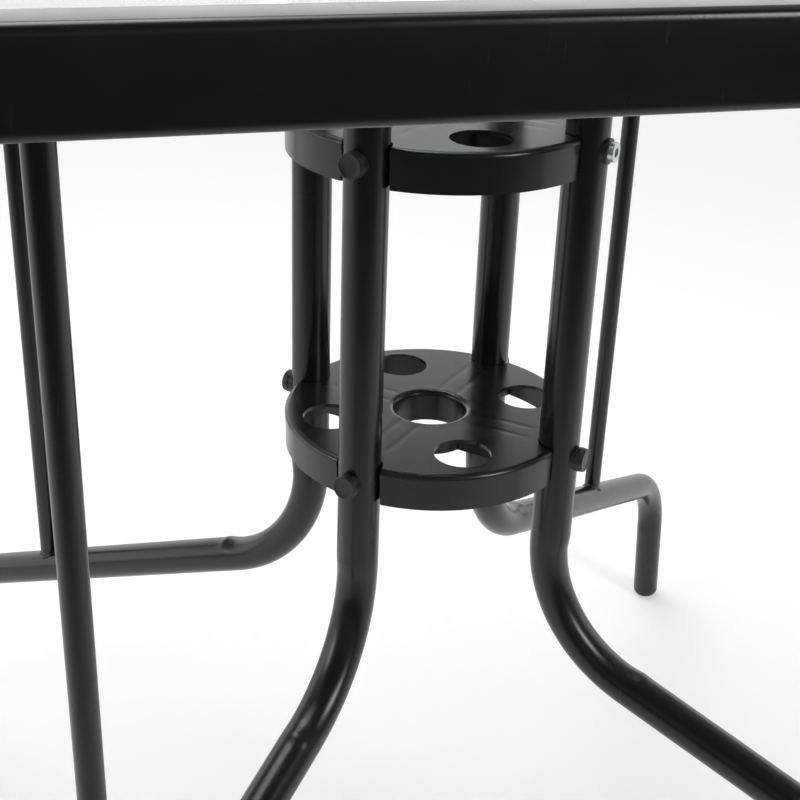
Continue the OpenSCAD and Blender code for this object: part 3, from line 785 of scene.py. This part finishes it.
def rimShape():
    # A rounded square profile carried round the loop: each profile point is a loop of its own offset
    halfWidth = rim["width"] / 2 - rim["edge"]
    halfHeight = (rim["top"] - rim["bottom"]) / 2 - rim["edge"]
    loop = []
    for start, (cx, cz) in zip((0, 90, 180, 270), ((1, 1), (-1, 1), (-1, -1), (1, -1))):
        middle = (cx * halfWidth, cz * halfHeight)
        loop += arc(middle, rim["edge"], start, start + 90, rim["edgeSteps"]).tolist()
    centre = (rim["bottom"] + rim["top"]) / 2
    rows = []
    for out, up in loop:
        half = rim["half"] - rim["width"] / 2 + out
        corner = rim["corner"] - rim["width"] / 2 + out
        flat = squareLoop(half, corner, rim["around"])
        rows.append(np.concatenate([flat, np.full((len(flat), 1), centre + up)], -1))
    rows = np.stack(rows)
    return rows.reshape(-1, 3) * mm, gridFaces(len(rows), rows.shape[1], wrapRows=True).tolist()


def glassShape():
    # A closed sheet: loops of the square outside and then of the round hole, with small arrises.
    # The two flat sides, which are the rows between outside and hole, are clear and the rest is ground.
    a, low, high = glass["arris"], glass["low"], glass["high"]
    b = a * glass["arrisBulge"]
    outside = [(-a, high), (-b, high - b), (0, high - a), (0, low + a), (-b, low + b), (-a, low)]
    inside = [(-offset, z) for offset, z in outside[::-1]]
    count = glass["around"]
    square = squareLoop(glass["half"], glass["corner"], count)
    angles = np.arctan2(square[:, 1], square[:, 0])
    rows = []
    for offset, z in outside:
        flat = squareLoop(glass["half"] + offset, glass["corner"] + offset, count)
        rows.append(np.concatenate([flat, np.full((count, 1), z)], -1))
    for offset, z in inside:
        radius = glass["hole"] + offset
        flat = np.stack([radius * np.cos(angles), radius * np.sin(angles)], -1)
        rows.append(np.concatenate([flat, np.full((count, 1), z)], -1))
    faces = gridFaces(len(rows), count, wrapRows=True)
    rowOfFace = np.repeat(np.arange(len(rows)), count)
    clear = (rowOfFace == len(outside) - 1) | (rowOfFace == len(rows) - 1)
    return np.concatenate(rows) * mm, faces.tolist(), np.where(clear, 0, 1)


def ringShape():
    # The ring's profile, spun: rounded flange over the glass and a sleeve through it, with a rounded mouth
    bore, sleeve, flange = ring["bore"], ring["sleeve"], ring["flange"]
    low, middle, top = ring["low"], ring["glassTop"], ring["top"]
    c, outer, inner = ring["chamfer"], ring["outerRadius"], ring["innerRadius"]
    profile = [(bore, low + c), (bore + c, low), (sleeve - c, low), (sleeve, low + c), (sleeve, middle),
        (flange - ring["lip"], middle)]
    profile += arc((flange - outer, top - outer), outer, *ring["outerTurn"]).tolist()
    profile += arc((bore + inner, top - inner), inner, *ring["innerTurn"]).tolist()
    profile.append((bore, low + c))
    points, faces = revolved(profile, ring["segments"])
    return points * mm, faces


addPiece("rim_tube", *rimShape(), [steel], "black_steel", ["rim_frame"], sharp=50.0)
glassPoints, glassFaces, glassSides = glassShape()
addPiece("glass_sheet", glassPoints, glassFaces, [glassFace, glassEdge], "clear_glass", ["glass_top"],
    sharp=15.0, faceMaterials=glassSides)
addPiece("pole_ring", *ringShape(), [plastic], "black_plastic", ["parasol_ring"], sharp=35.0)
print("rim, glass and ring made")


# Pieces that keep the CAD shape, with their sharp edges softened

cleaning = {"joinDistance": 0.000002, "flatAngle": 0.5, "roundedAngle": 50.0, "segments": 2, "weight": 100}
# A rolled edge is (radius of the ring in the roll's middle, radius of the roll, side that it rolls to)
rolledEdges = {"outer": (0.085, 0.003, 1.0), "mouth": (0.025, 0.0035, -1.0),
    "near": 0.00015, "aside": 1e-6, "below": 0.02, "alike": 0.7}


def softened(node, name, material, width):
    # A copy of the node's mesh, joined up, with its flat faces cleaned and its hard edges rounded
    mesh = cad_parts[node].data.copy()
    mesh.materials.clear()
    work = bmesh.new()
    work.from_mesh(mesh)
    bmesh.ops.remove_doubles(work, verts=work.verts, dist=cleaning["joinDistance"])
    bmesh.ops.dissolve_limit(work, angle_limit=math.radians(cleaning["flatAngle"]), verts=work.verts,
        edges=work.edges, use_dissolve_boundaries=False, delimit=set())
    bmesh.ops.recalc_face_normals(work, faces=work.faces)
    work.to_mesh(mesh)
    work.free()
    mesh.shade_smooth()
    mesh.materials.append(material)
    piece = newObject(name, mesh)
    bevel = piece.modifiers.new("Rounded edges", "BEVEL")
    bevel.limit_method = "ANGLE"
    bevel.angle_limit = math.radians(cleaning["roundedAngle"])
    bevel.width = width
    bevel.segments = cleaning["segments"]
    bevel.use_clamp_overlap = True
    level = piece.modifiers.new("Level faces", "WEIGHTED_NORMAL")
    level.keep_sharp = False
    level.weight = cleaning["weight"]
    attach(piece, "root")
    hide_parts(node)
    return piece


def meshValues(items, key, count, kind=float):
    # One value of all the items as an array
    values = np.empty(count, dtype=kind)
    items.foreach_get(key, values)
    return values


def rollNormals(piece, top):
    # On a rolled edge of a disc each normal points straight away from the ring in the middle of the roll,
    # so that the small uneven faces of the cut solid shade as one smooth surface
    graph = bpy.context.evaluated_depsgraph_get()
    mesh = bpy.data.meshes.new_from_object(piece.evaluated_get(graph))
    piece.modifiers.clear()
    piece.data = mesh
    spots = meshValues(mesh.vertices, "co", 3 * len(mesh.vertices)).reshape(-1, 3)
    normals = meshValues(mesh.corner_normals, "vector", 3 * len(mesh.loops)).reshape(-1, 3)
    flats = meshValues(mesh.polygons, "normal", 3 * len(mesh.polygons)).reshape(-1, 3)
    at = spots[meshValues(mesh.loops, "vertex_index", len(mesh.loops), np.int32)]
    sizes = meshValues(mesh.polygons, "loop_total", len(mesh.polygons), np.int32)
    flats = np.repeat(flats, sizes, axis=0)
    reach = np.hypot(at[:, 0], at[:, 1])
    for middle, roll, side in (rolledEdges["outer"], rolledEdges["mouth"]):
        out = (reach - middle) / np.maximum(reach, tiny)
        away = np.stack([at[:, 0] * out, at[:, 1] * out, at[:, 2] - top + roll], -1)
        length = np.linalg.norm(away, axis=1)
        away = away / np.maximum(length, tiny)[:, None]
        here = (np.abs(length - roll) < rolledEdges["near"]) & (side * out > -rolledEdges["aside"])
        here &= away[:, 2] > -rolledEdges["below"]
        here &= np.sum(away * flats, axis=1) > rolledEdges["alike"]
        normals[here] = away[here]
    mesh.normals_split_custom_set(normals.tolist())


# Node: piece, finish, slot, and the width of its rounded edges in metres
softEdges = {"ledge_" + side: ("ledge_strip_" + side, steel, "black_steel", 0.0004)
    for side in ("front", "back", "left", "right")}
softEdges["glass_pads"] = ("pads", rubber, "soft_pad", 0.0003)
softEdges["parasol_ring_nut"] = ("ring_nut", plastic, "black_plastic", 0.0005)
softEdges["arm_plugs"] = ("arm_end_plugs", plastic, "black_plastic", 0.0005)
fasteners = {"bolts": (zinc, "zinc_steel", 0.00035), "nuts": (zinc, "zinc_steel", 0.0003),
    "washers": (plastic, "black_plastic", 0.0003)}
for level in ("upper", "lower"):
    softEdges[level + "_disc"] = ("disc_" + level, disc, "disc_plastic", 0.0004)
for kind, finish in fasteners.items():
    for level in ("upper", "lower"):
        softEdges[level + "_disc_" + kind] = (kind + "_" + level, *finish)
for kind, finish in fasteners.items():
    softEdges["rim_" + kind] = (kind + "_rim", *finish)
for node, (name, material, slot, width) in softEdges.items():
    piece = softened(node, name, material, width)
    if material == disc:
        rollNormals(piece, boltCap[node.split("_")[0]] * mm)
print("softened pieces made")


# Camera

camera = {"place": (-0.2440, -0.7211, 0.8118), "heading": 17.319, "pitch": 26.013, "roll": 2.112,
    "lens": 62.786, "sensor": 36.0, "nearest": 0.01, "farthest": 100.0}


def addCamera():
    # Looks along the heading (degrees from +Y towards +X), tilted down by the pitch and rolled
    h, p, r = (math.radians(camera[k]) for k in ("heading", "pitch", "roll"))
    ahead = Vector((math.sin(h) * math.cos(p), math.cos(h) * math.cos(p), -math.sin(p)))
    level = Vector((math.cos(h), -math.sin(h), 0.0))
    down = ahead.cross(level)
    right = math.cos(r) * level - math.sin(r) * down
    lower = math.sin(r) * level + math.cos(r) * down
    turn = Matrix((right, -lower, -ahead)).transposed()
    data = bpy.data.cameras.new("Camera")
    data.sensor_width = camera["sensor"]
    data.sensor_fit = "HORIZONTAL"
    data.lens = camera["lens"]
    data.clip_start = camera["nearest"]
    data.clip_end = camera["farthest"]
    made = newObject("Camera", data)
    made.rotation_mode = "QUATERNION"
    made.location = camera["place"]
    made.rotation_quaternion = turn.to_quaternion()
    bpy.context.scene.camera = made


# White studio

studio = {
    "worldLight": 0.42, "lowSky": 1.6, "highSky": 0.5, "skyBand": (0.36, 0.49),
    "dimRoomWay": (-0.035, -0.999, 0.0), "dimRoomBand": (-0.1, 0.3), "dimRoom": 0.14,
    "floorSize": 40.0, "floorColor": 0.8, "floorRoughness": 0.9, "floorFill": 0.31,
    "dimFloorWay": (-0.242, -0.970, 0.0), "dimFloorBand": (0.15, 1.6), "dimFloor": 0.06,
    "farFloor": (1.8, 5.0), "farFill": 0.36,
    "lampAim": (0, 0, 0.4), "lampFade": 0.35, "lampPeak": 1.54,
    "lamps": {
        "Overhead": {"place": (-0.3, 0.9, 3.1), "size": (2.6, 2.6), "power": 46.0},
        "Left": {"place": (-2.9, -0.1, 1.5), "size": (1.0, 1.4), "power": 10.0},
        "Front right": {"place": (1.55, -2.4, 1.8), "size": (1.1, 1.9), "power": 32.0}
    }
}


def seenRays(s):
    # 1 for rays that the camera, a gloss or a clear material sends out, so that all of them see white
    path = s.node("ShaderNodeLightPath").outputs
    return s.math("MAXIMUM", path["Is Camera Ray"], s.math("MAXIMUM", path["Is Glossy Ray"],
        path["Is Transmission Ray"]))


def nearSide(s, vector, way, start, end):
    # 0 round the table, rising to 1 along the given way, where the white sheet ends and the room is dim
    dot = s.node("ShaderNodeVectorMath", operation="DOT_PRODUCT")
    s.feed(dot.inputs[0], vector)
    s.feed(dot.inputs[1], way)
    return s.spread(dot.outputs["Value"], start, end)


def addWorld():
    # White for seen rays and a plain level of light for the rest. A gloss sees a brighter band low round
    # the room, a darker ceiling and a dim side behind the camera's place in the photo.
    world = bpy.data.worlds.new("White studio")
    bpy.context.scene.world = world
    world.use_nodes = True
    s = Shade(world.node_tree)
    background = world.node_tree.nodes["Background"]
    background.inputs["Color"].default_value = (1.0, 1.0, 1.0, 1.0)
    glossy = s.node("ShaderNodeLightPath").outputs["Is Glossy Ray"]
    towards = s.node("ShaderNodeTexCoord").outputs["Generated"]
    dim = s.math("MULTIPLY", nearSide(s, towards, studio["dimRoomWay"], *studio["dimRoomBand"]), glossy)
    sky = s.spread(s.xyz(towards)["Z"], *studio["skyBand"], studio["lowSky"], studio["highSky"])
    sky = s.spread(glossy, 0.0, 1.0, 1.0, sky, "LINEAR")
    seen = s.math("MULTIPLY", sky, s.spread(dim, 0.0, 1.0, 1.0, studio["dimRoom"], "LINEAR"))
    rays = seenRays(s)
    light = s.math("MULTIPLY", s.math("SUBTRACT", 1.0, rays), studio["worldLight"])
    s.feed(background.inputs["Strength"], s.math("MULTIPLY_ADD", rays, seen, light))


def floorGlow(s, dim):
    # The floor's own white: a plain share for seen rays where it isn't dim, and more far from the table
    # for the rays that show it directly, so that it meets the white of the room
    fill = s.math("MULTIPLY", seenRays(s), s.math("SUBTRACT", 1.0, dim))
    path = s.node("ShaderNodeLightPath").outputs
    straight = s.math("MAXIMUM", path["Is Camera Ray"], path["Is Transmission Ray"])
    reach = s.node("ShaderNodeVectorMath", operation="LENGTH")
    s.feed(reach.inputs[0], s.place())
    far = s.math("MULTIPLY", s.spread(reach.outputs["Value"], *studio["farFloor"]), straight)
    return s.math("MULTIPLY_ADD", far, studio["farFill"], s.math("MULTIPLY", fill, studio["floorFill"]))


def addFloor():
    # A level sheet of pale grey that takes the object's shadow; a gloss sees it dim in front of the table
    size = studio["floorSize"]
    mesh = bpy.data.meshes.new("floor")
    corners = [(-size, -size, 0), (size, -size, 0), (size, size, 0), (-size, size, 0)]
    mesh.from_pydata(corners, [], [(0, 1, 2, 3)])
    pale, dark = ((tone, tone, tone) for tone in (studio["floorColor"], studio["dimFloor"]))
    material, s, p = newMaterial("White floor", pale, studio["floorRoughness"], Specular_IOR_Level=0.0,
        Emission_Color=(1.0, 1.0, 1.0, 1.0))
    glossy = s.node("ShaderNodeLightPath").outputs["Is Glossy Ray"]
    dim = s.math("MULTIPLY", nearSide(s, s.place(), studio["dimFloorWay"], *studio["dimFloorBand"]), glossy)
    s.feed(p.inputs["Base Color"], s.mix(dim, (*pale, 1), (*dark, 1)))
    s.feed(p.inputs["Emission Strength"], floorGlow(s, dim))
    mesh.materials.append(material)
    floor = newObject("floor", mesh)


def fadedEdges(s, place):
    # Brightest in the middle of a lamp and nothing at both its edges, as a soft box looks in a gloss
    rise = s.spread(place, 0.0, studio["lampFade"])
    return s.math("MULTIPLY", rise, s.spread(place, 1.0 - studio["lampFade"], 1.0, studio["lampPeak"], 0.0))


def addLamps():
    # Soft boxes, each turned to the aim
    for name, values in studio["lamps"].items():
        data = bpy.data.lights.new(name, "AREA")
        data.shape = "RECTANGLE"
        data.size, data.size_y = values["size"]
        data.energy = values["power"]
        data.use_nodes = True
        s = Shade(data.node_tree)
        spot = s.xyz(s.node("ShaderNodeNewGeometry").outputs["Parametric"])
        light = s.math("MULTIPLY", fadedEdges(s, spot["X"]), fadedEdges(s, spot["Y"]))
        s.feed(data.node_tree.nodes["Emission"].inputs["Strength"], light)
        lamp = newObject(name, data)
        lamp.location = values["place"]
        lamp.rotation_mode = "QUATERNION"
        aim = Vector(studio["lampAim"]) - Vector(values["place"])
        lamp.rotation_quaternion = aim.to_track_quat("-Z", "Y")


addCamera()
addWorld()
addFloor()
addLamps()
bpy.context.scene.view_settings.view_transform = "Standard"
print("studio set")
